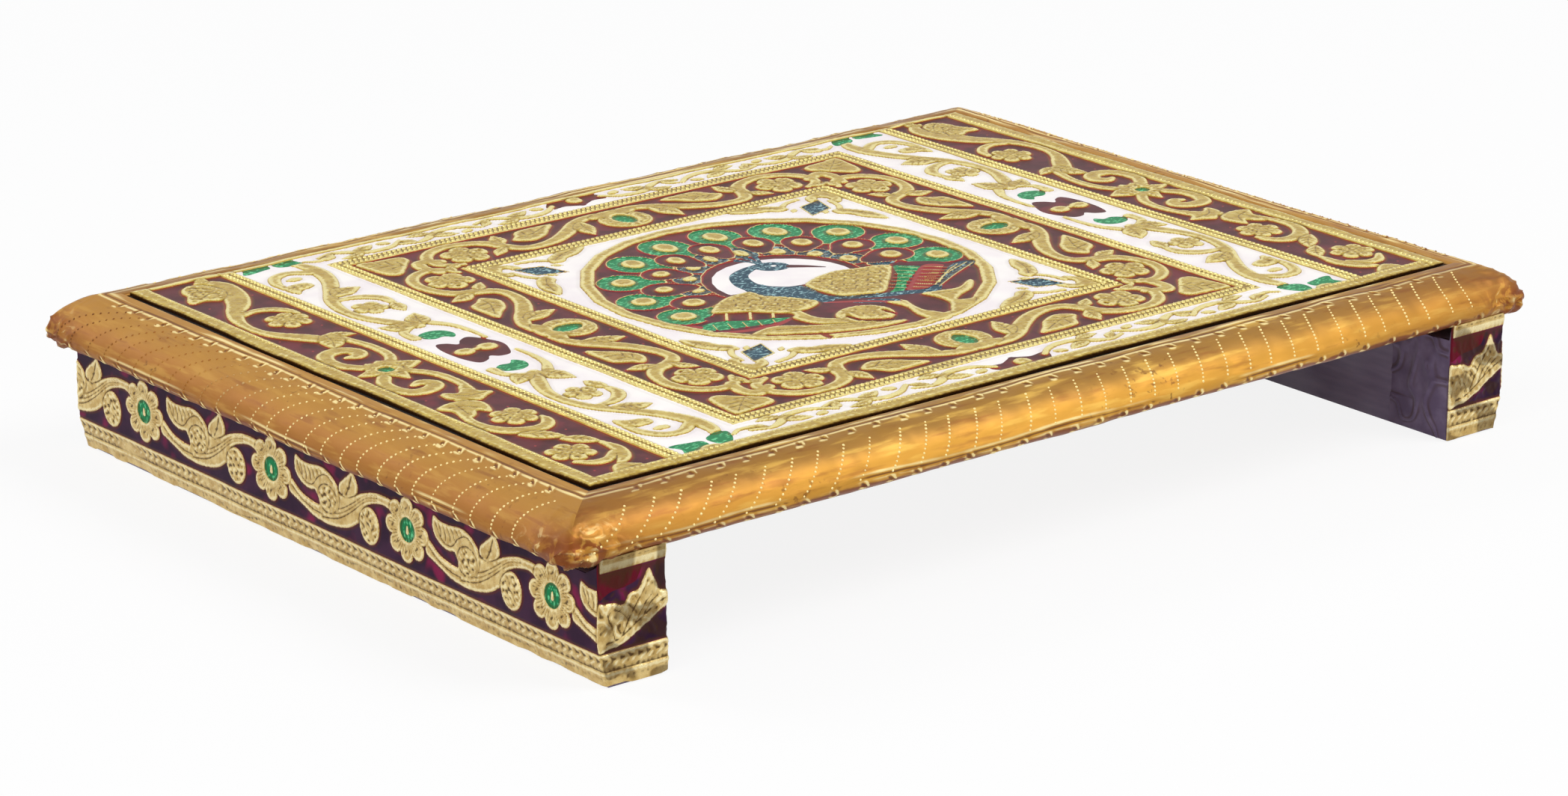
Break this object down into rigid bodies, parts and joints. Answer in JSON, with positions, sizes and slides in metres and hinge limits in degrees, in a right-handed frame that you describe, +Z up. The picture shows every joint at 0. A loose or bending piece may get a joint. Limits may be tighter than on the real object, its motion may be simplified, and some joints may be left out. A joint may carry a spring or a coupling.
{
  "type": "chowki stool",
  "caption": "Low rectangular wooden stool on runners, with a bullnose foil edge and an embossed enamelled metal top.",
  "frame": {"origin": "floor, at the centre of the outline seen from above", "axes": "+X along the long side, +Y to the back, +Z up"},
  "size_m": [0.381, 0.275, 0.0537],
  "materials": {
    "board_wood": "sawn and sanded plank",
    "moulding_wood": "planed softwood",
    "gold_foil": "thin creased foil with punched dots",
    "top_enamel": "embossed sheet with translucent enamel",
    "runner_enamel": "embossed sheet with dark glossy enamel",
    "runner_paint": "dark brush paint on wood",
    "steel": "plain wire nail",
    "tack_brass": "small domed tack"
  },
  "bodies": {
    "root": {"board": "board_wood", "edge_brad_back_1": "steel", "edge_brad_back_2": "steel", "edge_brad_back_3": "steel", "edge_brad_back_4": "steel", "edge_brad_front_1": "steel", "edge_brad_front_2": "steel", "edge_brad_front_3": "steel", "edge_brad_front_4": "steel", "edge_brad_left_1": "steel", "edge_brad_left_2": "steel", "edge_brad_right_1": "steel", "edge_brad_right_2": "steel", "edge_moulding_back": "moulding_wood", "edge_moulding_front": "moulding_wood", "edge_moulding_left": "moulding_wood", "edge_moulding_right": "moulding_wood", "foil_tack_back_1": "tack_brass", "foil_tack_back_2": "tack_brass", "foil_tack_back_3": "tack_brass", "foil_tack_back_4": "tack_brass", "foil_tack_back_5": "tack_brass", "foil_tack_front_1": "tack_brass", "foil_tack_front_2": "tack_brass", "foil_tack_front_3": "tack_brass", "foil_tack_front_4": "tack_brass", "foil_tack_front_5": "tack_brass", "moulding_foil_back": "gold_foil", "moulding_foil_front": "gold_foil", "moulding_foil_left": "gold_foil", "moulding_foil_right": "gold_foil", "runner_left": "runner_paint", "runner_nail_left_1": "steel", "runner_nail_left_2": "steel", "runner_nail_left_3": "steel", "runner_nail_right_1": "steel", "runner_nail_right_2": "steel", "runner_nail_right_3": "steel", "runner_right": "runner_paint", "runner_sheet_left": "runner_enamel", "runner_sheet_right": "runner_enamel", "top_sheet": "top_enamel"}
  },
  "joints": []
}
